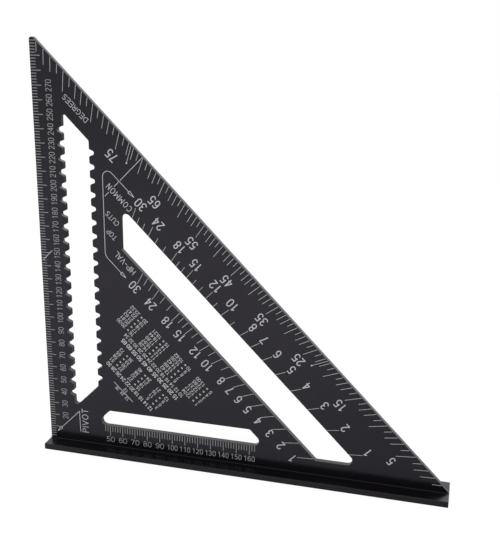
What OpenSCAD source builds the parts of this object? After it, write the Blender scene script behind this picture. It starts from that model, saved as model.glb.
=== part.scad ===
// Rafter square: a triangular blade standing in a grooved fence, held by countersunk screws
// Right angle at the left end of the fence, blade in the XZ plane, fence along X, all sizes in mm
// Origin: middle of the fence's underside. The blade's scales start at the fence's top face

/* [Blade] */
// Length of the upright edge and of the fence, measured from the pivot corner
side = 304.8; // [295:0.1:340]
// Thickness of the blade
blade_t = 4; // [3.5:0.1:5]
// Radius of the blade's top tip
tip_r = 1.8; // [0.5:0.1:4]
// Chamfer along the long sloping edge
edge_c = 0.2; // [0.1:0.05:0.6]
// Depth that the blade's foot goes into the fence
tongue_h = 2.2; // [1.5:0.1:2.6]

/* [Scribing slot] */
// From the upright edge to the left-hand crests
scribe_x = 21.1; // [19:0.1:24]
// Width of the slot between the two rows of crests
scribe_w = 20.2; // [16:0.1:22]
// Height above the fence at which the slot's lower corner would be sharp
scribe_foot = 28.1; // [22:0.1:32]
// Wall left between the slot's upper end and the sloping edge, square to that edge
scribe_wall = 21.3; // [18:0.1:26]
// Radius of the slot's two sharp corners
scribe_r = 2; // [1:0.1:3]
// Distance from one scribing notch to the next
notch_pitch = 10; // [8:0.5:12]
// Depth of a notch behind the crests
notch_depth = 3.6; // [2.5:0.1:4]
// Width of a notch at the crests
notch_mouth = 4.9; // [4.4:0.1:5.4]
// Width of a notch at its root
notch_root = 2.4; // [2.2:0.1:2.8]
// Radius in a notch's root
notch_root_r = 1.4; // [0.6:0.1:1.5]
// Radius on a crest's corners
crest_r = 1.2; // [0.4:0.1:1.4]
// Least length of plain crest beside the first and the last notch
notch_margin = 5; // [4.6:0.1:6]

/* [Foot slot] */
// Height of the slot's lower edge above the fence
foot_slot_z = 16.2; // [14:0.1:18]
// Height of the slot
foot_slot_h = 12.7; // [10:0.1:13]
// Left end of the slot's upper edge, from the pivot corner
foot_slot_from = 50; // [48:0.5:60]
// Right end of the slot's upper edge, from the pivot corner
foot_slot_to = 160; // [120:0.5:165]
// Radius of the slot's two sharp corners
foot_slot_r = 4; // [2:0.1:4.5]

/* [Diagonal slot] */
// Wall left between the slot and the sloping edge, square to that edge
diagonal_wall = 37.1; // [34:0.1:40]
// Width of the slot
diagonal_w = 22.7; // [18:0.1:24]
// Distance of the slot's left end from the upright edge
diagonal_x = 63.5; // [60:0.1:80]
// Height of the slot's lower end above the fence
diagonal_z = 10.8; // [9:0.1:20]
// Radius of the slot's two sharp corners
diagonal_r = 4; // [2:0.1:5]
// Radius of the blunt corners of all three slots
blunt_r = 2; // [0.5:0.1:3]

/* [Fence] */
// Width of the fence, across the blade
fence_w = 27.7; // [20:0.1:32]
// Thickness of the fence
fence_t = 4.6; // [4.4:0.1:7]
// Radius along the fence's two lower edges
fence_low_r = 0.5; // [0.2:0.1:1.5]
// Radius along the fence's two upper edges
fence_top_r = 0.4; // [0.2:0.1:0.8]
// Width of the bead that is rolled against the blade on each side
bead_w = 0.8; // [0.6:0.1:1.5]
// Height of the bead
bead_h = 0.4; // [0.4:0.1:1]
// Radius of the bead's outer corner
bead_r = 0.3; // [0.1:0.05:0.3]
// Play between the blade's foot and each side of the groove
groove_play = 0.05; // [0.02:0.01:0.1]

/* [Screws] */
// Number of screws along the fence
screw_count = 6; // [3:1:9]
// Distance from each end of the fence to the nearest screw
screw_end = 22.4; // [18:0.1:40]
// Diameter of the screw's thread
screw_d = 2.5; // [2:0.1:2.6]
// Length of the screw with its head
screw_len = 10; // [7:0.5:11]
// Diameter of the countersunk head
head_d = 4.6; // [4.2:0.1:5]
// Depth of the head's face below the fence's underside
head_sink = 0.15; // [0.05:0.05:0.3]
// Width across the flats of the hexagonal key socket
key_af = 1.5; // [1.3:0.1:1.7]
// Depth of the key socket
key_depth = 0.8; // [0.5:0.1:0.9]
// Radial play round the thread in the blade
thread_play = 0.05; // [0.03:0.01:0.1]
// Radial play round the screw in the fence
shank_play = 0.15; // [0.1:0.05:0.3]
// Play between the head's cone and its countersink
head_play = 0.03; // [0.02:0.01:0.05]
// Depth of the blade's hole beyond the screw's end
hole_spare = 0.6; // [0.3:0.1:1]

/* [Hidden] */

// Turn between two points of a rounded corner, to the nearest whole number of steps
arc_angle = 15;
// Facets round a screw
screw_fn = 48;
// Angle of the screw head's cone
cone_angle = 90;
// Overrun of every cut
over = 1;

// Sloping edge: x + z of its points, measured from the pivot corner
hypotenuse_sum = side;
// x + z along the slots' ends and sides that run beside the sloping edge
scribe_top_sum = side - scribe_wall * sqrt(2);
diagonal_high_sum = side - diagonal_wall * sqrt(2);
diagonal_low_sum = diagonal_high_sum - diagonal_w * sqrt(2);
// The scribing slot's right-hand crests, and z - x along its lower end
scribe_right = scribe_x + scribe_w;
scribe_low_rise = scribe_foot - scribe_x;
// Heights of the notches: whole pitches on the left, half a pitch further on the right
left_low = ceil((scribe_foot + notch_margin) / notch_pitch);
left_high = floor((scribe_top_sum - scribe_x - notch_margin) / notch_pitch);
right_low = ceil((scribe_right + scribe_low_rise + notch_margin) / notch_pitch - 1 / 2);
right_high = floor((scribe_top_sum - scribe_right - notch_margin) / notch_pitch - 1 / 2);
left_notches = [for (k = [left_high : -1 : left_low]) k * notch_pitch];
right_notches = [for (k = [right_low : right_high]) (k + 1 / 2) * notch_pitch];

// Screw head's height, from its cone
head_h = (head_d - screw_d) / 2 / tan(cone_angle / 2);
// Blunt lead at the screw's end
screw_lead = screw_d / 6;
screw_pitch = (side - 2 * screw_end) / (screw_count - 1);
groove_w = blade_t + 2 * groove_play;

// A vector of the same direction and of length one
function unit(v) = v / norm(v);

// Points of the round corner of radius r at b, between the sides from a and to c
function corner(a, b, c, r) =
    let (
        to_a = unit(a - b),
        to_c = unit(c - b),
        half = acos(max(-1, min(1, to_a * to_c))) / 2,
        centre = b + unit(to_a + to_c) * r / sin(half),
        start = b + to_a * r / tan(half) - centre,
        turn = sign(cross(b - a, c - b)) * (180 - 2 * half),
        steps = max(1, round(abs(turn) / arc_angle)),
        first = atan2(start.y, start.x)
    )
    [for (i = [0 : steps]) centre + r * [cos(first + turn * i / steps), sin(first + turn * i / steps)]];

// Outline through corners given as [x, z, radius], each rounded by its own radius
function rounded(corners) =
    let (n = len(corners), at = [for (c = corners) [c[0], c[1]]])
    [
        for (i = [0 : n - 1])
            each corners[i][2] == 0
                ? [at[i]]
                : corner(at[(i + n - 1) % n], at[i], at[(i + 1) % n], corners[i][2])
    ];

// The four corners of one notch, from the crest at x into the blade: outward is 1 or -1
function notch(x, z, outward) = [
    [x, z - outward * notch_mouth / 2, crest_r],
    [x + outward * notch_depth, z - outward * notch_root / 2, notch_root_r],
    [x + outward * notch_depth, z + outward * notch_root / 2, notch_root_r],
    [x, z + outward * notch_mouth / 2, crest_r]
];

// Places what is measured from the pivot corner at the fence's top face
module from_pivot() {
    translate([-side / 2, 0, fence_t]) children();
}

// Stands a flat outline up in the XZ plane, centred on the blade's middle plane
module stand(thickness) {
    rotate([90, 0, 0]) linear_extrude(height = thickness, center = true) children();
}

// Triangle of the blade with its foot
module blade_outline() {
    polygon(rounded([
        [0, -tongue_h, 0],
        [side, -tongue_h, 0],
        [side, 0, 0],
        [0, hypotenuse_sum, tip_r]
    ]));
}

// Slot with a row of scribing notches down each side
module scribing_slot_outline() {
    polygon(rounded([
        [scribe_x, scribe_foot, scribe_r],
        [scribe_right, scribe_right + scribe_low_rise, blunt_r],
        for (z = right_notches) each notch(scribe_right, z, 1),
        [scribe_right, scribe_top_sum - scribe_right, blunt_r],
        [scribe_x, scribe_top_sum - scribe_x, scribe_r],
        for (z = left_notches) each notch(scribe_x, z, -1)
    ]));
}

// Slot above the fence, longer at its lower edge
module foot_slot_outline() {
    polygon(rounded([
        [foot_slot_from - foot_slot_h, foot_slot_z, foot_slot_r],
        [foot_slot_to + foot_slot_h, foot_slot_z, foot_slot_r],
        [foot_slot_to, foot_slot_z + foot_slot_h, blunt_r],
        [foot_slot_from, foot_slot_z + foot_slot_h, blunt_r]
    ]));
}

// Slot beside the sloping edge
module diagonal_slot_outline() {
    polygon(rounded([
        [diagonal_low_sum - diagonal_z, diagonal_z, blunt_r],
        [diagonal_high_sum - diagonal_z, diagonal_z, diagonal_r],
        [diagonal_x, diagonal_high_sum - diagonal_x, diagonal_r],
        [diagonal_x, diagonal_low_sum - diagonal_x, blunt_r]
    ]));
}

// Bar with a square section turned on its corner, to chamfer an edge along X
module chamfer_bar(length) {
    rotate([45, 0, 0]) cube([length, edge_c * sqrt(2), edge_c * sqrt(2)], center = true);
}

// Places its children at each screw's axis, at the fence's underside
module at_screw(i) {
    translate([(i - 1) * screw_pitch + screw_end - side / 2, 0, 0]) children();
}

module blade() {
    color([0.03, 0.03, 0.033]) difference() {
        from_pivot() difference() {
            stand(blade_t) blade_outline();
            stand(blade_t + 2 * over) {
                scribing_slot_outline();
                foot_slot_outline();
                diagonal_slot_outline();
            }
            // Chamfers on both faces, along the sloping edge
            for (y = [-blade_t / 2, blade_t / 2]) {
                translate([side / 2, y, side / 2]) rotate([0, 45, 0]) chamfer_bar(side * 2);
            }
        }
        // Threaded holes, up into the blade's foot
        for (i = [1 : screw_count]) {
            at_screw(i) cylinder(
                d = screw_d + 2 * thread_play, h = head_sink + screw_len + hole_spare, $fn = screw_fn
            );
        }
    }
}

// Section across the fence, with the groove for the blade's foot between two beads
module fence_section() {
    half = fence_w / 2;
    wall = groove_w / 2;
    polygon(rounded([
        [-half, 0, fence_low_r],
        [half, 0, fence_low_r],
        [half, fence_t, fence_top_r],
        [wall + bead_w, fence_t, 0],
        [wall + bead_w, fence_t + bead_h, bead_r],
        [wall, fence_t + bead_h, 0],
        [wall, fence_t - tongue_h, 0],
        [-wall, fence_t - tongue_h, 0],
        [-wall, fence_t + bead_h, 0],
        [-wall - bead_w, fence_t + bead_h, bead_r],
        [-wall - bead_w, fence_t, 0],
        [-half, fence_t, fence_top_r]
    ]));
}

module fence() {
    color([0.03, 0.03, 0.033]) difference() {
        rotate([90, 0, 90]) linear_extrude(height = side, center = true) fence_section();
        for (i = [1 : screw_count]) {
            at_screw(i) {
                cylinder(d = screw_d + 2 * shank_play, h = fence_t, $fn = screw_fn);
                countersink();
            }
        }
    }
}

// Seat for a screw head: a straight mouth down to the head's face, then the cone
module countersink() {
    seat_d = head_d + 2 * head_play;
    translate([0, 0, -over]) cylinder(d = seat_d, h = over + head_sink, $fn = screw_fn);
    translate([0, 0, head_sink]) cylinder(d1 = seat_d, d2 = screw_d + 2 * head_play, h = head_h, $fn = screw_fn);
}

// Countersunk screw with a hexagonal key socket, head down
module screw(i) {
    color([0.08, 0.08, 0.085]) at_screw(i) translate([0, 0, head_sink]) difference() {
        union() {
            cylinder(d1 = head_d, d2 = screw_d, h = head_h, $fn = screw_fn);
            cylinder(d = screw_d, h = screw_len - screw_lead, $fn = screw_fn);
            translate([0, 0, screw_len - screw_lead])
                cylinder(d1 = screw_d, d2 = screw_d - 2 * screw_lead, h = screw_lead, $fn = screw_fn);
        }
        translate([0, 0, -over]) cylinder(d = key_af / cos(30), h = over + key_depth, $fn = 6);
    }
}

blade();
fence();
for (i = [1 : screw_count]) screw(i);
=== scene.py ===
import math

import bmesh
import bpy
from mathutils import Matrix, Vector


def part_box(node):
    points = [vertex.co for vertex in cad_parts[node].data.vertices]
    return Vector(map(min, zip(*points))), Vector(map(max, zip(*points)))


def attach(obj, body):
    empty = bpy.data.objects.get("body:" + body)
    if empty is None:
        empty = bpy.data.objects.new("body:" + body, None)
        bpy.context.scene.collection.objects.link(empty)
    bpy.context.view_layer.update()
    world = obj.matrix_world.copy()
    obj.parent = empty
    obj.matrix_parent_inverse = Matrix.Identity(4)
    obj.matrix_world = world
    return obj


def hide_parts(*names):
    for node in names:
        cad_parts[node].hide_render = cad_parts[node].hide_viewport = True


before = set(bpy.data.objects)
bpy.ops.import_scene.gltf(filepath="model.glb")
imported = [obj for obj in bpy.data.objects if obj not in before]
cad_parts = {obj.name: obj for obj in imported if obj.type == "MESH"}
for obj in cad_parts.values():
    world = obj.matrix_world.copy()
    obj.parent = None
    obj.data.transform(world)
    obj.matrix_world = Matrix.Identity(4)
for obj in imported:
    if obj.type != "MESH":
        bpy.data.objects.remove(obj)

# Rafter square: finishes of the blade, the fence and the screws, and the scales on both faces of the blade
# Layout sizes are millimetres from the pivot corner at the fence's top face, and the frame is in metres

MM = 0.001
ROOT_2 = math.sqrt(2)
WHITE = (1, 1, 1)
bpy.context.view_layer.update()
BLADE_LOW, BLADE_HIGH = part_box("blade")

# Height of the fence's bead, which stands above the fence's top face
BEAD_H = 0.4
FENCE_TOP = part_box("fence")[1].z - BEAD_H * MM

# The blade's edges and slots that the scales start from, as in the CAD model
SIDE = (BLADE_HIGH.x - BLADE_LOW.x) / MM
EDGE_CHAMFER = 0.2
DIAGONAL_WALL = 37.1
DIAGONAL_WIDTH = 22.7
FOOT_SLOT_Z = 16.2
# x + z along the sloping edge's chamfer and along the diagonal slot's two long sides
SLOPE_SUM = SIDE - EDGE_CHAMFER * ROOT_2
SLOT_HIGH_SUM = SIDE - DIAGONAL_WALL * ROOT_2
SLOT_LOW_SUM = SLOT_HIGH_SUM - DIAGONAL_WIDTH * ROOT_2

# Camera, solved from the scales' marks and the outlines in the photograph
CAMERA_LENS = 55.288
CAMERA_SENSOR = 36
CAMERA_AT = Vector((145.464, -546.45, 319.503)) * MM
CAMERA_AIM = Vector((6.127, -2.0, 150.079)) * MM
CAMERA_ROLL = 0.867

# Bevels on the square edges of blade and fence: their widths, steps and roundness
BLADE_BEVEL = 0.1
FENCE_BEVEL = 0.15
BEVEL_STEPS = 2
BEVEL_ROUND = 0.5
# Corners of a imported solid's triangles that are this near are one
MERGE_WITHIN = 0.001
# Turns between two faces, in degrees: one flat face below the first, a square edge above the second,
# and an edge that stays sharp above the third
FLAT_TURN = 0.5
SQUARE_TURN = 60
SHARP_TURN = 40

# Widths of the marked lines
TICK_W = 0.32
LEG_TICK_W = 0.45
LEADER_W = 0.47
# A figure's line and the gap between figures, as shares of the height
WEIGHT_SHARE = 0.115
LETTER_GAP = 0.27
# Distance of the ticks' ends from a slot's edge and from the sloping edge's chamfer
SLOT_GAP = 0.34
SLOPE_GAP = 0.19
# Thickness of a marked line, as a share of its width, half of it sunk in the face
RELIEF_SHARE = 0.06
# Each line is lifted by a random part of this, so that no two that cross have one surface
STAGGER = 0.001
STAGGER_SEED = 7
# A line's round ends: their facets, and their thickness as a share of the line's
END_FACETS = 8
END_DEPTH_SHARE = 0.85
# A line whose two ends are this near is a closed one
CLOSED_WITHIN = 0.01
# Turn between two points of a figure's curves
FINE_TURN = 20
COARSE_TURN = 45
# Text along the upright edge is read upwards, and along the sloping edge with that edge at the bottom
UPRIGHT_TURN = 90
SLOPE_TURN = 135


def node_input(tree, name, kind, value=None):
    """Add a named input to a node tree."""
    socket = tree.interface.new_socket(name, in_out="INPUT", socket_type=kind)
    if value is not None:
        socket.default_value = value


def wired(tree, kind, inputs=None, **settings):
    """Add a node, set its properties and connect or fill its inputs, named or numbered."""
    node = tree.nodes.new(kind)
    for name, value in settings.items():
        setattr(node, name, value)
    for key, value in (inputs or {}).items():
        if isinstance(value, bpy.types.NodeSocket):
            tree.links.new(value, node.inputs[key])
        else:
            node.inputs[key].default_value = value
    return node


def maths(tree, operation, *values):
    """A sum, product or other operation on two or three values."""
    return wired(tree, "ShaderNodeMath", dict(enumerate(values)), operation=operation).outputs[0]


def between(tree, value, start, end, low, high):
    """A value that goes from low to high as another goes from start to end."""
    spans = {"Value": value, "From Min": start, "From Max": end, "To Min": low, "To Max": high}
    return wired(tree, "ShaderNodeMapRange", spans).outputs[0]


def seen_by(tree, rays):
    """One for the named kinds of ray, and nothing for all other light."""
    path = wired(tree, "ShaderNodeLightPath").outputs
    either = path[rays[0]]
    for ray in rays[1:]:
        either = maths(tree, "MAXIMUM", either, path[ray])
    return either


def line_tree():
    """Geometry nodes that turn flat edges into raised lines with round ends."""
    tree = bpy.data.node_groups.new("raised lines", "GeometryNodeTree")
    node_input(tree, "Edges", "NodeSocketGeometry")
    node_input(tree, "Relief", "NodeSocketFloat", RELIEF_SHARE)
    node_input(tree, "Stagger", "NodeSocketFloat", STAGGER * MM)
    node_input(tree, "End Facets", "NodeSocketInt", END_FACETS)
    node_input(tree, "Mark", "NodeSocketMaterial")
    tree.interface.new_socket("Lines", in_out="OUTPUT", socket_type="NodeSocketGeometry")
    given = wired(tree, "NodeGroupInput").outputs
    width = wired(
        tree, "GeometryNodeInputNamedAttribute", {"Name": "line_width"}, data_type="FLOAT"
    ).outputs[0]
    index = wired(tree, "GeometryNodeInputIndex").outputs[0]
    # Input 3 is the highest of the random numbers, and output 1 is the number
    stagger = wired(
        tree, "FunctionNodeRandomValue",
        {3: given["Stagger"], "ID": index, "Seed": STAGGER_SEED}, data_type="FLOAT",
    ).outputs[1]

    # A bar of the line's width along each chain of edges
    curves = wired(tree, "GeometryNodeMeshToCurve", {"Mesh": given["Edges"]}).outputs[0]
    curves = wired(tree, "GeometryNodeSetCurveNormal", {"Curve": curves}, mode="Z_UP").outputs[0]
    per_line = wired(
        tree, "GeometryNodeFieldOnDomain", {0: stagger}, domain="CURVE", data_type="FLOAT"
    ).outputs[0]
    lift = wired(tree, "ShaderNodeCombineXYZ", {"Z": per_line}).outputs[0]
    curves = wired(tree, "GeometryNodeSetPosition", {"Geometry": curves, "Offset": lift}).outputs[0]
    section = wired(
        tree, "GeometryNodeCurvePrimitiveQuadrilateral", {"Width": 1.0, "Height": given["Relief"]}
    ).outputs[0]
    lines = wired(
        tree, "GeometryNodeCurveToMesh",
        {"Curve": curves, "Profile Curve": section, "Scale": width, "Fill Caps": True},
    ).outputs[0]

    # A round button on each point that has one neighbour
    neighbours = wired(tree, "GeometryNodeInputMeshVertexNeighbors").outputs[0]
    is_end = wired(
        tree, "FunctionNodeCompare", {2: neighbours, 3: 1}, data_type="INT", operation="EQUAL"
    ).outputs[0]
    lift = wired(tree, "ShaderNodeCombineXYZ", {"Z": stagger}).outputs[0]
    ends = wired(tree, "GeometryNodeSetPosition", {"Geometry": given["Edges"], "Offset": lift}).outputs[0]
    depth = maths(tree, "MULTIPLY", given["Relief"], END_DEPTH_SHARE)
    button = wired(
        tree, "GeometryNodeMeshCylinder",
        {"Vertices": given["End Facets"], "Radius": 0.5, "Depth": depth},
    ).outputs[0]
    buttons = wired(
        tree, "GeometryNodeInstanceOnPoints",
        {"Points": ends, "Selection": is_end, "Instance": button, "Scale": width},
    ).outputs[0]

    both = wired(tree, "GeometryNodeJoinGeometry")
    tree.links.new(lines, both.inputs[0])
    tree.links.new(buttons, both.inputs[0])
    whole = wired(tree, "GeometryNodeRealizeInstances", {"Geometry": both.outputs[0]}).outputs[0]
    whole = wired(tree, "GeometryNodeSetShadeSmooth", {0: whole, "Shade Smooth": False}).outputs[0]
    whole = wired(tree, "GeometryNodeSetMaterial", {"Geometry": whole, "Material": given["Mark"]}).outputs[0]
    wired(tree, "NodeGroupOutput", {0: whole})
    return tree


def bow(turn, x, y, across, up, start, end):
    """Points of an elliptical arc, one each turn degrees."""
    steps = max(2, round(abs(end - start) / turn))
    angles = [math.radians(start + (end - start) * k / steps) for k in range(steps + 1)]
    return [(x + across * math.cos(a), y + up * math.sin(a)) for a in angles]


def alphabet(turn):
    """Single-line figures and letters, one unit high: each one's width and its strokes."""
    # Width of a figure, and its middle
    w = 0.46
    m = w / 2

    def arc(*values):
        return bow(turn, *values)

    six = [arc(m, 0.3, m, 0.3, 0, 360), [*arc(0.27, 0.6, 0.27, 0.4, 50, 180), (0, 0.3)]]
    return {
        "0": (w, [[*arc(m, 0.7, m, 0.3, 0, 180), *arc(m, 0.3, m, 0.3, 180, 360), (w, 0.7)]]),
        "1": (w, [[(0.08, 0.8), (0.28, 1)], [(0.28, 1), (0.28, 0)]]),
        "2": (w, [[*arc(m, 0.74, m, 0.26, 170, -35), (0, 0)], [(0, 0), (w, 0)]]),
        "3": (w, [arc(0.21, 0.755, 0.2, 0.245, 155, -90), arc(0.21, 0.255, 0.25, 0.255, 90, -155)]),
        "4": (w, [[(0.35, 0), (0.35, 1)], [(0.35, 1), (0, 0.27)], [(0, 0.27), (w, 0.27)]]),
        "5": (w, [
            [(0.43, 1), (0.07, 1)],
            [(0.07, 1), (0.03, 0.51)],
            arc(0.215, 0.31, 0.245, 0.31, 140, -150),
        ]),
        "6": (w, six),
        "7": (w, [[(0, 1), (w, 1)], [(w, 1), (0.27, 0.48), (0.15, 0)]]),
        "8": (w, [arc(m, 0.755, 0.2, 0.245, 0, 360), arc(m, 0.26, m, 0.26, 0, 360)]),
        "9": (w, [[(w - x, 1 - y) for x, y in stroke] for stroke in six]),
        ".": (0.02, [[(0, 0), (0.02, 0)]]),
        "=": (0.36, [[(0, 0.58), (0.36, 0.58)], [(0, 0.34), (0.36, 0.34)]]),
        "-": (0.36, [[(0, 0.45), (0.36, 0.45)]]),
        "A": (0.56, [[(0, 0), (0.28, 1)], [(0.28, 1), (0.56, 0)], [(0.1, 0.34), (0.46, 0.34)]]),
        "C": (0.52, [arc(0.3, 0.5, 0.3, 0.5, 45, 315)]),
        "D": (0.5, [[(0, 0), (0, 1)], [(0, 1), *arc(0.18, 0.5, 0.32, 0.5, 90, -90), (0, 0)]]),
        "E": (0.42, [[(w, 1), (0, 1)], [(0, 1), (0, 0)], [(0, 0), (w, 0)], [(0, 0.52), (0.38, 0.52)]]),
        "G": (0.56, [[*arc(0.3, 0.5, 0.3, 0.5, 50, 335), (0.57, 0.46)], [(0.57, 0.46), (0.34, 0.46)]]),
        "H": (0.5, [[(0, 0), (0, 1)], [(0.5, 0), (0.5, 1)], [(0, 0.52), (0.5, 0.52)]]),
        "I": (0.02, [[(0.01, 0), (0.01, 1)]]),
        "L": (0.4, [[(0, 1), (0, 0)], [(0, 0), (0.4, 0)]]),
        "M": (0.66, [
            [(0, 0), (0, 1)],
            [(0, 1), (0.33, 0.3)],
            [(0.33, 0.3), (0.66, 1)],
            [(0.66, 1), (0.66, 0)],
        ]),
        "N": (0.5, [[(0, 0), (0, 1)], [(0, 1), (0.5, 0)], [(0.5, 0), (0.5, 1)]]),
        "O": (0.6, [arc(0.3, 0.5, 0.3, 0.5, 0, 360)]),
        "P": (w, [[(0, 0), (0, 1)], [(0, 1), *arc(0.2, 0.74, 0.26, 0.26, 90, -90), (0, 0.48)]]),
        "R": (w, [
            [(0, 0), (0, 1)],
            [(0, 1), *arc(0.2, 0.74, 0.26, 0.26, 90, -90), (0, 0.48)],
            [(0.22, 0.48), (w, 0)],
        ]),
        "S": (w, [[*arc(m, 0.755, 0.21, 0.245, 30, 270), *arc(m, 0.255, m, 0.255, 90, -150)[1:]]]),
        "T": (0.52, [[(0, 1), (0.52, 1)], [(0.26, 1), (0.26, 0)]]),
        "U": (0.5, [[(0, 1), *arc(0.25, 0.28, 0.25, 0.28, 180, 360), (0.5, 1)]]),
        "V": (0.54, [[(0, 1), (0.27, 0)], [(0.27, 0), (0.54, 1)]]),
    }


class Marks:
    """Lines and figures on one face of the blade: hand is 1 in front and -1 behind."""

    fonts = {FINE_TURN: alphabet(FINE_TURN), COARSE_TURN: alphabet(COARSE_TURN)}

    def __init__(self, hand):
        self.hand = hand
        self.points = []
        self.edges = []
        self.widths = []

    def stroke(self, points, width):
        """A chain of points in the face's own view, closed where it ends as it starts."""
        closed = len(points) > 2 and math.dist(points[0], points[-1]) < CLOSED_WITHIN
        if closed:
            points = points[:-1]
        first = len(self.points)
        count = len(points)
        self.points += points
        self.widths += [width] * count
        self.edges += [(first + k, first + k + 1) for k in range(count - 1)]
        if closed:
            self.edges.append((first + count - 1, first))

    def line(self, points, width=LEADER_W):
        """A line through points measured from the pivot corner."""
        self.stroke([(self.hand * x, z) for x, z in points], width)

    def text(
        self, words, x, z, cap,
        turn=0, turn_step=FINE_TURN, gap=LETTER_GAP, weight=WEIGHT_SHARE, stretch=1, length=None,
    ):
        """Figures centred at x, z: cap is their height and turn their direction, as seen in front.

        A given length sets the gaps between the letters.
        """
        width = cap * weight
        high = cap - width
        cells = [self.fonts[turn_step][letter] for letter in words]
        letters = sum(cell[0] for cell in cells) * stretch
        if length is not None:
            gap = ((length - width) / high - letters) / (len(cells) - 1)
        long = letters + gap * (len(cells) - 1)
        angle = math.radians(turn * self.hand)
        along = Vector((math.cos(angle), math.sin(angle))) * high
        upward = Vector((-math.sin(angle), math.cos(angle))) * high
        middle = Vector((self.hand * x, z))
        pen = -long / 2
        for advance, strokes in cells:
            for points in strokes:
                placed = [middle + along * (pen + px * stretch) + upward * (py - 0.5) for px, py in points]
                self.stroke([tuple(point) for point in placed], width)
            pen += advance * stretch + gap


# A scale in millimetres has a longer tick and a figure each ten
TEN = 10

# Leg scale on the upright edge
LEG_TICKS = range(2, 302, 2)
LEG_TICK_FROM = 0.3
LEG_TICK_TO = 4.1
LEG_TEN_TO = 7.5
LEG_FIGURES = range(20, 280, TEN)
LEG_FIGURE_X = 12.8
LEG_FIGURE_CAP = 4.65
LEG_FIGURE_GAP = 0.21
LEG_FIGURE_WEIGHT = 0.09

# Foot scale below the foot slot
FOOT_TICKS = range(46, 166, 2)
FOOT_TICK_FROM = FOOT_SLOT_Z - SLOT_GAP
FOOT_TICK_TO = 11.6
FOOT_TEN_TO = 8.4
FOOT_FIGURE_Z = 5.1
FOOT_FIGURE_CAP = 4.3
FOOT_FIGURE_WEIGHT = 0.1
# How wide a foot figure of so many digits is drawn
FOOT_FIGURE_STRETCH = {2: 1.45, 3: 1.08}

# Degree scale along the sloping edge: how deep the ticks reach, by degrees past the last five
DEGREES = range(1, 90)
DEGREE_TICKS = [10.5, 4.8, 7.5, 7.5, 4.8]
DEGREE_FIGURES = range(5, 80, 10)
DEGREE_FIGURE_IN = 16.1
DEGREE_FIGURE_ASIDE = -1.0
BIG_CAP = 7.0
# The two long ticks that end in a dot, which is a very short and wide line
DOTTED_DEGREES = (22.5, 72.5)
DOTTED_LONG = 11.4
DOT_STEP = Vector((0.05, 0.05))
DOT_W = 1.3

# Rafter scales on the diagonal slot's two sides: rise on a run of 12, or on its diagonal
RISES = [1, 2, 3, 4, 5, 6, 7, 8, 10, 12, 15, 18, 24, 30]
MINOR_RISES = [9, 11, 13, 14, 16, 17, 20, 22, 26, 28]
COMMON_RUN = 12
COMMON_LONG = 7.5
COMMON_SHORT = 4.5
COMMON_FIGURE_OUT = 12.0
HIP_RUN = COMMON_RUN * ROOT_2
HIP_LONG = 9.0
HIP_SHORT = 6.2
HIP_FIGURE_IN = 12.5
# How far each rise's figure stands aside from its tick, towards the upper end
COMMON_ASIDE = [-0.8, -1.4, -1.0, -0.9, -1.4, -1.1, -0.3, -0.3, 0.8, 1.5, 1.1, 1.6, -1.2, -0.7]
HIP_ASIDE = [1.6, -0.3, -1.3, -1.0, -0.4, -0.3, -0.2, 0.9, 1.0, 0.8, 1.4, 1.1, -1.7, -0.5]


def ray_tick(marks, rise, run, edge_sum, depth, inward, gap=SLOT_GAP):
    """A tick on a ray from the pivot, from gap to depth measured square to the edge at x + z = edge_sum.

    Gives its far end.
    """
    direction = Vector((run, rise)).normalized()
    start = direction * (edge_sum / (direction.x + direction.y))
    step = -direction if inward else direction
    slant = step * ROOT_2 / (direction.x + direction.y)
    end = start + slant * depth
    marks.line([start + slant * gap, end], TICK_W)
    return end


def degree_tick(marks, degree, depth):
    """A tick of the degree scale. Gives its far end."""
    angle = math.radians(degree)
    return ray_tick(marks, math.sin(angle), math.cos(angle), SLOPE_SUM, depth, True, SLOPE_GAP)


def beside(point, edge_sum, distance, aside):
    """The place that far from an edge at 45 degrees, level with a tick's end and moved along the edge."""
    along = (point.y - point.x) / 2 + aside / ROOT_2
    middle = (edge_sum + distance * ROOT_2) / 2
    return middle - along, middle + along


def leg_scale(marks):
    """Millimetres above the fence, up the upright edge."""
    for mark in LEG_TICKS:
        reach = LEG_TEN_TO if mark % TEN == 0 else LEG_TICK_TO
        reach = min(reach, SLOPE_SUM - mark)
        marks.line([(LEG_TICK_FROM, mark), (reach, mark)], LEG_TICK_W)
    for figure in LEG_FIGURES:
        marks.text(
            str(figure), LEG_FIGURE_X, figure, LEG_FIGURE_CAP, UPRIGHT_TURN,
            gap=LEG_FIGURE_GAP, weight=LEG_FIGURE_WEIGHT,
        )


def foot_scale(marks):
    """Millimetres from the upright edge, below the foot slot."""
    for mark in FOOT_TICKS:
        reach = FOOT_TEN_TO if mark % TEN == 0 else FOOT_TICK_TO
        marks.line([(mark, FOOT_TICK_FROM), (mark, reach)], LEG_TICK_W)
        if mark % TEN == 0:
            figure = str(mark)
            stretch = FOOT_FIGURE_STRETCH[len(figure)]
            marks.text(
                figure, mark, FOOT_FIGURE_Z, FOOT_FIGURE_CAP, weight=FOOT_FIGURE_WEIGHT, stretch=stretch
            )


def degree_scale(marks):
    """Degrees above the fence along the sloping edge, as seen from the pivot."""
    for degree in DEGREES:
        end = degree_tick(marks, degree, DEGREE_TICKS[degree % len(DEGREE_TICKS)])
        if degree in DEGREE_FIGURES:
            x, z = beside(end, SIDE, -DEGREE_FIGURE_IN, DEGREE_FIGURE_ASIDE)
            marks.text(str(degree), x, z, BIG_CAP, SLOPE_TURN)
    for degree in DOTTED_DEGREES:
        end = degree_tick(marks, degree, DOTTED_LONG)
        marks.line([end, end + DOT_STEP], DOT_W)


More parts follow.
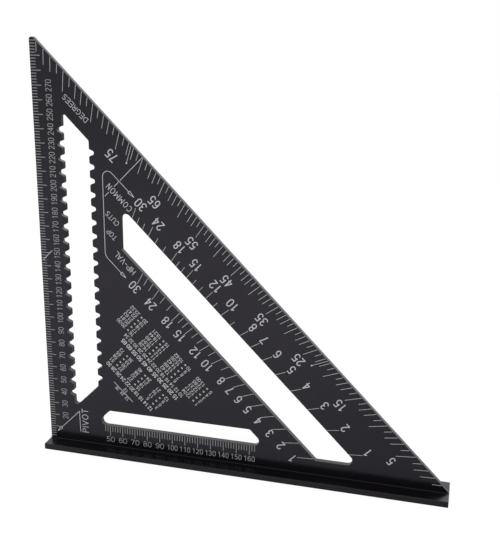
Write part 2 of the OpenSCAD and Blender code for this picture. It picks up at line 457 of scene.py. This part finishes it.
def common_scale(marks):
    """Rises of a common rafter, between the diagonal slot and the sloping edge."""
    for rise, aside in zip(RISES, COMMON_ASIDE):
        end = ray_tick(marks, rise, COMMON_RUN, SLOT_HIGH_SUM, COMMON_LONG, False)
        x, z = beside(end, SLOT_HIGH_SUM, COMMON_FIGURE_OUT, aside)
        marks.text(str(rise), x, z, BIG_CAP, SLOPE_TURN)
    for rise in MINOR_RISES:
        ray_tick(marks, rise, COMMON_RUN, SLOT_HIGH_SUM, COMMON_SHORT, False)


def hip_scale(marks):
    """Rises of a hip or valley rafter, on the pivot's side of the diagonal slot."""
    for rise, aside in zip(RISES, HIP_ASIDE):
        end = ray_tick(marks, rise, HIP_RUN, SLOT_LOW_SUM, HIP_LONG, True)
        x, z = beside(end, SLOT_LOW_SUM, -HIP_FIGURE_IN, aside)
        marks.text(str(rise), x, z, BIG_CAP, SLOPE_TURN)
    for rise in MINOR_RISES:
        ray_tick(marks, rise, HIP_RUN, SLOT_LOW_SUM, HIP_SHORT, True)


# Words with their middle, height, length, direction and how wide their letters are drawn
LEGENDS = (
    ("DEGREES", 32.3, 255.1, 4.0, 23.8, SLOPE_TURN, 1.45),
    ("COMMON", 63.0, 194.5, 4.6, 23.9, SLOPE_TURN, 1.1),
    ("CUTS", 57.3, 179.1, 4.0, 12.0, SLOPE_TURN, 1.25),
    ("TOP", 56.4, 167.4, 4.0, 8.6, SLOPE_TURN, 1.1),
    ("HIP-VAL", 65.8, 147.2, 4.5, 19.9, SLOPE_TURN, 1.2),
    ("PIVOT", 29.3, 17.8, 5.3, 19.8, UPRIGHT_TURN, 1.3),
)
LEGEND_WEIGHT = 0.1

# Each arrowhead's base and tip, and half its width
COMMON_ARROW = ((70.4, 199.1), (74.0, 195.5))
HIP_ARROW = ((62.9, 139.5), (66.3, 136.1))
PIVOT_ARROW = ((9.0, 9.4), (5.8, 6.2))
ARROW_HALF_W = 1.05
# The bends of the line between the two rafter scales: middle, radii, and the turns where they start and end
UPPER_BEND = (54.9, 208.9, 4, 4, 45, 180)
LOWER_BEND = (56.4, 153.8, 5.5, 5.5, 180, 225)
# The line at 45 degrees from the sloping edge: z - x, and where x starts and ends between other marks
SLANT_RISE = 142.85
SLANT_STRETCHES = ((80.8, 64.1), (62.7, 59.4), (55.1, 52.2), (9.0, 1.5))
# The upright line beside the pivot's word
PIVOT_LINE_FOOT = (25.0, 8.0)
PIVOT_LINE_TOP = (24.8, 25.2)


def arrowhead(marks, base, tip):
    """A hollow arrowhead from the middle of its base to its tip."""
    base, tip = Vector(base), Vector(tip)
    side = Vector((base.y - tip.y, tip.x - base.x)).normalized() * ARROW_HALF_W
    for start, end in ((tip, base + side), (base + side, base - side), (base - side, tip)):
        marks.line([start, end])


def legends(marks):
    """What each scale is for, the leader lines and the pivot's pointer."""
    for words, x, z, cap, length, turn, stretch in LEGENDS:
        marks.text(words, x, z, cap, turn, weight=LEGEND_WEIGHT, stretch=stretch, length=length)

    # One line with an arrow to each rafter scale
    upper = bow(FINE_TURN, *UPPER_BEND)
    lower = bow(FINE_TURN, *LOWER_BEND)
    marks.line([COMMON_ARROW[0], *upper, *lower, HIP_ARROW[0]])
    arrowhead(marks, *COMMON_ARROW)
    arrowhead(marks, *HIP_ARROW)

    for start, end in SLANT_STRETCHES:
        marks.line([(start, start + SLANT_RISE), (end, end + SLANT_RISE)])

    # Pointer to the pivot corner
    marks.line([PIVOT_LINE_FOOT, PIVOT_LINE_TOP])
    marks.line([PIVOT_LINE_TOP, PIVOT_ARROW[0]])
    arrowhead(marks, *PIVOT_ARROW)


# Number tables in the middle of the blade, laid out along and across the sloping text from here
TABLE_AT = (139.9, 51.8)
TABLE_CAP = 3.0
TABLE_ROW = 3.82
TABLE_WEIGHT = 0.13
TABLE_BOLD = 0.17
TABLE_GAP = 0.22
TABLE_STRETCH = 1.2

# Heading rows: the numbers, where the row starts and ends, how far up it is, its height and its weight
SLOPE_HEADING = (range(12, 32, 2), 26, 76.5, 52, 3.3, 0.15)
RAFTER_HEADING = (range(15, 70, 5), 20, 81.5, 29.4, 3.6, TABLE_BOLD)
RAFTER_SUBHEADING = (range(10, 36, 2), 19, 83, 24.7, 3.1, TABLE_WEIGHT)

# Blocks of rows: how many rows in all and in a block, the place of the first row's sign, how far the next
# block is, and how far the two numbers are from their sign
SLOPE_BLOCKS = {
    "rows": 12, "block_rows": 4, "along": 30, "up": 47.5, "next": 19.7, "left": -4, "right": 5.5,
}
RAFTER_BLOCKS = {
    "rows": 20, "block_rows": 5, "along": 12.5, "up": 20.4, "next": 23.5, "left": -3.8, "right": 7.0,
}
# Degrees from one row of the slopes to the next
SLOPE_STEP = 3

# The fraction above the tables: its upper row, its line from start to end, and its lower number
FRACTION_ROW = ((12, 24, 36), 43, 59, 61.2, 2.6, TABLE_WEIGHT)
FRACTION_LINE = ((41, 59.3), (61.5, 59.3))
FRACTION_BELOW = (51, 57, 2.9)


def table_place(along, up):
    """The place on the blade that is so far along the tables' lines and so far up."""
    share = 1 / ROOT_2
    return TABLE_AT[0] - (along + up) * share, TABLE_AT[1] + (along - up) * share


def table_text(marks, words, along, up, cap=TABLE_CAP, weight=TABLE_WEIGHT):
    """Plain numbers in the tables, centred that far along their line and that far up."""
    x, z = table_place(along, up)
    marks.text(words, x, z, cap, SLOPE_TURN, COARSE_TURN, TABLE_GAP, weight, TABLE_STRETCH)


def number_line(marks, numbers, start, end, up, cap, weight):
    """A row of plain numbers, evenly spread between two places."""
    for k, number in enumerate(numbers):
        table_text(marks, str(number), start + (end - start) * (k + 0.5) / len(numbers), up, cap, weight)


def equal_rows(marks, blocks, values):
    """Blocks of rows that each say that one number is equal to another."""
    for row in range(blocks["rows"]):
        block, below = divmod(row, blocks["block_rows"])
        along = blocks["along"] + blocks["next"] * block
        up = blocks["up"] - TABLE_ROW * below
        number, value = values(row + 1)
        table_text(marks, number, along + blocks["left"], up)
        table_text(marks, "=", along, up, weight=TABLE_BOLD)
        table_text(marks, value, along + blocks["right"], up)


def slope_percent(step):
    """An angle and its slope in percent."""
    degree = SLOPE_STEP * step
    return str(degree), str(round(100 * math.tan(math.radians(degree))))


def rafter_length(rise):
    """A rise and the length of a common rafter with it."""
    return str(rise), f"{math.hypot(COMMON_RUN, rise):.2f}"


def number_tables(marks):
    """Slope in percent for every third degree, and the length of a rafter for each rise on 12."""
    number_line(marks, *SLOPE_HEADING)
    equal_rows(marks, SLOPE_BLOCKS, slope_percent)

    number_line(marks, *RAFTER_HEADING)
    number_line(marks, *RAFTER_SUBHEADING)
    equal_rows(marks, RAFTER_BLOCKS, rafter_length)

    number_line(marks, *FRACTION_ROW)
    marks.line([table_place(*end) for end in FRACTION_LINE])
    table_text(marks, str(COMMON_RUN), *FRACTION_BELOW)


# From a flat drawing to the blade's front face, and to its back face, read from behind
UPRIGHT = Matrix.Rotation(math.pi / 2, 4, "X")
FRONT = Matrix.Translation((BLADE_LOW.x, BLADE_LOW.y, FENCE_TOP)) @ UPRIGHT
BACK = Matrix.Translation((BLADE_LOW.x, BLADE_HIGH.y, FENCE_TOP)) @ Matrix.Rotation(math.pi, 4, "Z") @ UPRIGHT


def marked(name, draw, hand, tree, material):
    """One set of marks as a mesh on the blade's front or back face."""
    marks = Marks(hand)
    draw(marks)
    flat = bpy.data.meshes.new(name + " edges")
    flat.from_pydata([(x * MM, z * MM, 0) for x, z in marks.points], marks.edges, [])
    widths = flat.attributes.new("line_width", "FLOAT", "POINT")
    widths.data.foreach_set("value", [width * MM for width in marks.widths])

    maker = bpy.data.objects.new(name + " maker", flat)
    bpy.context.collection.objects.link(maker)
    modifier = maker.modifiers.new("raised lines", "NODES")
    modifier.node_group = tree
    sockets = {item.name: item.identifier for item in tree.interface.items_tree if item.in_out == "INPUT"}
    modifier[sockets["Mark"]] = material
    graph = bpy.context.evaluated_depsgraph_get()
    mesh = bpy.data.meshes.new_from_object(maker.evaluated_get(graph))
    bpy.data.objects.remove(maker)
    mesh.name = name
    mesh.transform(FRONT if hand == 1 else BACK)

    piece = bpy.data.objects.new(name, mesh)
    bpy.context.collection.objects.link(piece)
    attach(piece, "root")


# Grain of a blasted and anodised surface: fine pits, and slow clouds of tone
PIT_SCALE = 2500.0
PIT_DETAIL = 3.0
PIT_DEPTH = 0.02
CLOUD_SCALE = 18.0
CLOUD_DETAIL = 4.0
# The marks' grain is finer and their surface more matt
MARK_GRAIN = {"Roughness": 0.6, "Roughness Spread": 0.1, "Grain Scale": 4000.0}

# Each finish: the colours that it swings between with the grain, the tint of its reflections, how much its
# pits show, and the grain's own values
FINISHES = {
    "blade black": {
        "dark": (0.0003, 0.0003, 0.0004),
        "pale": (0.0017, 0.0015, 0.0022),
        "tint": (0.88, 0.83, 1.0),
        "pits": 0.2,
        "grain": {"Roughness": 0.22, "Roughness Spread": 0.06},
    },
    "fence black": {
        "dark": (0.0003, 0.0003, 0.0004),
        "pale": (0.0017, 0.0014, 0.0019),
        "tint": (0.85, 0.76, 0.9),
        "pits": 0.2,
        "grain": {"Roughness": 0.26, "Roughness Spread": 0.06},
    },
    "black oxide": {
        "dark": (0.02, 0.02, 0.021),
        "pale": (0.045, 0.045, 0.048),
        "tint": WHITE,
        "pits": 0.3,
        "grain": {"Roughness": 0.3, "Roughness Spread": 0.1},
    },
    "pale mark": {
        "dark": (0.42, 0.42, 0.43),
        "pale": (0.54, 0.54, 0.55),
        "tint": WHITE,
        "pits": 0.2,
        "grain": MARK_GRAIN,
    },
    "faint mark": {
        "dark": (0.26, 0.26, 0.27),
        "pale": (0.34, 0.34, 0.35),
        "tint": WHITE,
        "pits": 0.2,
        "grain": MARK_GRAIN,
    },
}


def grain_group():
    """Shader nodes for the grain: its tone, its roughness and the height of its pits."""
    group = bpy.data.node_groups.new("anodised grain", "ShaderNodeTree")
    node_input(group, "Grain Scale", "NodeSocketFloat", PIT_SCALE)
    node_input(group, "Cloud Scale", "NodeSocketFloat", CLOUD_SCALE)
    node_input(group, "Roughness", "NodeSocketFloat")
    node_input(group, "Roughness Spread", "NodeSocketFloat")
    for name in ("Tone", "Roughness", "Height"):
        group.interface.new_socket(name, in_out="OUTPUT", socket_type="NodeSocketFloat")
    given = wired(group, "NodeGroupInput").outputs
    place = wired(group, "ShaderNodeTexCoord").outputs["Object"]
    pits = wired(
        group, "ShaderNodeTexNoise", {"Vector": place, "Scale": given["Grain Scale"], "Detail": PIT_DETAIL}
    ).outputs[0]
    cloud = wired(
        group, "ShaderNodeTexNoise", {"Vector": place, "Scale": given["Cloud Scale"], "Detail": CLOUD_DETAIL}
    ).outputs[0]
    tone = maths(group, "MULTIPLY", maths(group, "ADD", pits, cloud), 0.5)
    swing = maths(group, "SUBTRACT", tone, 0.5)
    rough = maths(group, "MULTIPLY_ADD", swing, given["Roughness Spread"], given["Roughness"])
    wired(group, "NodeGroupOutput", {"Tone": tone, "Roughness": rough, "Height": pits})
    return group


def finish(name, grain):
    """A material of the finishes' list."""
    look = FINISHES[name]
    material = bpy.data.materials.new(name)
    material.use_nodes = True
    tree = material.node_tree
    shader = tree.nodes["Principled BSDF"]
    surface = wired(tree, "ShaderNodeGroup", node_tree=grain)
    for key, value in look["grain"].items():
        surface.inputs[key].default_value = value
    # Inputs 6 and 7 of a mix are its two colours, and output 2 is the mixed one
    colour = wired(
        tree, "ShaderNodeMix",
        {0: surface.outputs["Tone"], 6: (*look["dark"], 1), 7: (*look["pale"], 1)}, data_type="RGBA",
    ).outputs[2]
    relief = wired(
        tree, "ShaderNodeBump",
        {"Strength": look["pits"], "Distance": PIT_DEPTH * MM, "Height": surface.outputs["Height"]},
    ).outputs[0]
    tree.links.new(colour, shader.inputs["Base Color"])
    tree.links.new(surface.outputs["Roughness"], shader.inputs["Roughness"])
    tree.links.new(relief, shader.inputs["Normal"])
    shader.inputs["Specular Tint"].default_value = (*look["tint"], 1)
    return material


def dressed(node_name, name, edge, material):
    """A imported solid's copy with its square edges broken."""
    mesh = bmesh.new()
    mesh.from_mesh(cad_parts[node_name].data)
    bmesh.ops.remove_doubles(mesh, verts=mesh.verts, dist=MERGE_WITHIN * MM)
    bmesh.ops.dissolve_limit(mesh, angle_limit=math.radians(FLAT_TURN), verts=mesh.verts, edges=mesh.edges)
    for face in mesh.faces:
        face.material_index = 0
        face.smooth = True
    square_turn = math.radians(SQUARE_TURN)
    square = [line for line in mesh.edges if line.is_manifold and line.calc_face_angle() > square_turn]
    bmesh.ops.bevel(
        mesh, geom=square, offset=edge * MM, offset_type="OFFSET", segments=BEVEL_STEPS,
        profile=BEVEL_ROUND, affect="EDGES", clamp_overlap=True,
    )
    data = bpy.data.meshes.new(name)
    mesh.to_mesh(data)
    mesh.free()
    data.materials.append(material)
    data.set_sharp_from_angle(angle=math.radians(SHARP_TURN))
    piece = bpy.data.objects.new(name, data)
    bpy.context.collection.objects.link(piece)
    weighted = piece.modifiers.new("flat faces", "WEIGHTED_NORMAL")
    weighted.keep_sharp = True
    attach(piece, "root")
    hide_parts(node_name)


# Rays that see the paper and the backdrop without a bounce, and those that see them in a gloss
STRAIGHT_RAYS = ("Is Camera Ray", "Is Transmission Ray")
GLOSS_RAYS = ("Is Glossy Ray",)

# The room in reflections: where it is brightest, and two spans of directions, from away to towards there,
# each with the tones at its start and end
BRIGHT_SIDE = (0.5, 0.87, 0)
DIM_SPAN = (-1.0, 0.2, 0.73, 1.0)
BRIGHT_SPAN = (0.5, 0.8, 1.0, 1.4)
# Strength of the room's plain light on the tool
ROOM_LIGHT = 0.75

# The paper's side in metres, and how far it lies below the fence in millimetres
PAPER_SIDE = 8
PAPER_DROP = 0.1
# Painted shade on the paper, seen only in reflections, by the metres behind the tool: it falls off both ways,
# a little darker near the tool and darkest some way behind it
PAPER_PAINTED_SHADE = ((-2.5, 0.65), (-0.5, 0.95), (-0.1, 0.86), (0.05, 0.82), (0.4, 0.2), (1.2, 0.8), (2.5, 0.8))
# Painted shade to the right of the tool: what is left of the paper's tone there, and the metres over which it
# darkens
PAPER_RIGHT_SHADE = 0.66
PAPER_FADE = (0.0, 0.18)
# What the camera sees of the paper: a grey that takes shadows, and a glow that makes it white
PAPER_GREY = (0.2, 0.2, 0.2)
PAPER_GLOW = 0.86

# Square lamps: direction from the middle of the blade, distance and size in metres, and radiance
LAMPS = {
    "key light": (Vector((0.68, -0.36, 0.64)), 1.7, 0.6, 8.0),
    "fill light": (Vector((-0.75, -0.55, 0.5)), 2.0, 1.2, 0.8),
}
LAMP_AIM_Z = 150


def backdrop():
    """White behind the tool, with a room of its own in reflections."""
    world = bpy.data.worlds.new("studio")
    bpy.context.scene.world = world
    world.use_nodes = True
    tree = world.node_tree
    background = tree.nodes["Background"]
    background.inputs["Color"].default_value = (*WHITE, 1)
    place = wired(tree, "ShaderNodeTexCoord").outputs["Generated"]
    towards = wired(
        tree, "ShaderNodeVectorMath", {0: place, 1: BRIGHT_SIDE}, operation="DOT_PRODUCT"
    ).outputs["Value"]
    room = maths(
        tree, "MULTIPLY", between(tree, towards, *DIM_SPAN), between(tree, towards, *BRIGHT_SPAN)
    )
    mirrored = maths(tree, "MULTIPLY", seen_by(tree, GLOSS_RAYS), room)
    shown = maths(tree, "MAXIMUM", seen_by(tree, STRAIGHT_RAYS), mirrored)
    either = seen_by(tree, STRAIGHT_RAYS + GLOSS_RAYS)
    plain = maths(tree, "MULTIPLY_ADD", either, -ROOM_LIGHT, ROOM_LIGHT)
    tree.links.new(maths(tree, "ADD", shown, plain), background.inputs["Strength"])


def paper():
    """The floor: white to the camera, with painted shade in reflections."""
    bpy.ops.mesh.primitive_plane_add(size=PAPER_SIDE, location=(0, 0, -PAPER_DROP * MM))
    floor = bpy.context.object
    floor.name = "studio_floor"
    material = bpy.data.materials.new("studio floor")
    material.use_nodes = True
    tree = material.node_tree
    tree.nodes.remove(tree.nodes["Principled BSDF"])
    place = wired(tree, "ShaderNodeTexCoord").outputs["Object"]
    apart = wired(tree, "ShaderNodeSeparateXYZ", {0: place}).outputs

    # The paper's painted shade in reflections, by how far behind the tool it lies
    # A new ramp has its first and last stop already
    near, far = PAPER_PAINTED_SHADE[0][0], PAPER_PAINTED_SHADE[-1][0]
    shade = wired(tree, "ShaderNodeValToRGB", {0: between(tree, apart["Y"], near, far, 0.0, 1.0)})
    stops = shade.color_ramp.elements
    for behind, tone in PAPER_PAINTED_SHADE:
        share = (behind - near) / (far - near)
        stop = stops[0] if share == 0 else stops[-1] if share == 1 else stops.new(share)
        stop.color = (tone, tone, tone, 1)

    # Painted shade: the reflected paper darkens to the right of the tool
    right_shade = between(tree, apart["X"], *PAPER_FADE, 1.0, PAPER_RIGHT_SHADE)
    shaded_tone = wired(
        tree, "ShaderNodeVectorMath", {0: shade.outputs[0], "Scale": right_shade}, operation="SCALE"
    ).outputs[0]
    reflected = wired(tree, "ShaderNodeBsdfDiffuse", {"Color": shaded_tone}).outputs[0]
    grey = wired(tree, "ShaderNodeBsdfDiffuse", {"Color": (*PAPER_GREY, 1)}).outputs[0]
    glow = wired(tree, "ShaderNodeEmission", {"Color": (*WHITE, 1), "Strength": PAPER_GLOW}).outputs[0]
    bright = wired(tree, "ShaderNodeAddShader", {0: grey, 1: glow}).outputs[0]
    mixed = wired(
        tree, "ShaderNodeMixShader", {0: seen_by(tree, STRAIGHT_RAYS), 1: reflected, 2: bright}
    ).outputs[0]
    tree.links.new(mixed, tree.nodes["Material Output"].inputs["Surface"])
    floor.data.materials.append(material)


def softbox(name, direction, distance, size, radiance):
    """A square area light that faces the middle of the blade."""
    lamp = bpy.data.lights.new(name, "AREA")
    lamp.shape = "SQUARE"
    lamp.size = size
    lamp.energy = radiance * math.pi * size * size
    light = bpy.data.objects.new(name, lamp)
    bpy.context.collection.objects.link(light)
    light.location = Vector((0, 0, LAMP_AIM_Z * MM)) + direction.normalized() * distance
    light.rotation_euler = (-direction).to_track_quat("-Z", "Y").to_euler()


def camera():
    """The photograph's view."""
    lens = bpy.data.cameras.new("camera")
    lens.lens = CAMERA_LENS
    lens.sensor_width = CAMERA_SENSOR
    eye = bpy.data.objects.new("camera", lens)
    bpy.context.collection.objects.link(eye)
    turn = (CAMERA_AIM - CAMERA_AT).to_track_quat("-Z", "Y").to_matrix().to_4x4()
    roll = Matrix.Rotation(math.radians(CAMERA_ROLL), 4, "Z")
    eye.matrix_world = Matrix.Translation(CAMERA_AT) @ turn @ roll
    bpy.context.scene.camera = eye


def main():
    bpy.context.scene.view_settings.view_transform = "Standard"
    camera()
    backdrop()
    paper()
    for name, values in LAMPS.items():
        softbox(name, *values)

    grain = grain_group()
    looks = {name: finish(name, grain) for name in FINISHES}
    dressed("blade", "blade_plate", BLADE_BEVEL, looks["blade black"])
    dressed("fence", "fence_bar", FENCE_BEVEL, looks["fence black"])
    for name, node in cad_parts.items():
        if name.startswith("screw_"):
            for place in node.material_slots:
                place.material = looks["black oxide"]

    tree = line_tree()
    scales = {
        "leg_scale": (leg_scale, "faint mark"),
        "foot_scale": (foot_scale, "faint mark"),
        "degree_scale": (degree_scale, "pale mark"),
        "common_scale": (common_scale, "pale mark"),
        "hip_scale": (hip_scale, "pale mark"),
    }
    for name, (draw, look) in scales.items():
        marked(name + "_front", draw, 1, tree, looks[look])
        marked(name + "_back", draw, -1, tree, looks[look])
    marked("legends", legends, 1, tree, looks["pale mark"])
    marked("number_tables", number_tables, 1, tree, looks["pale mark"])


main()
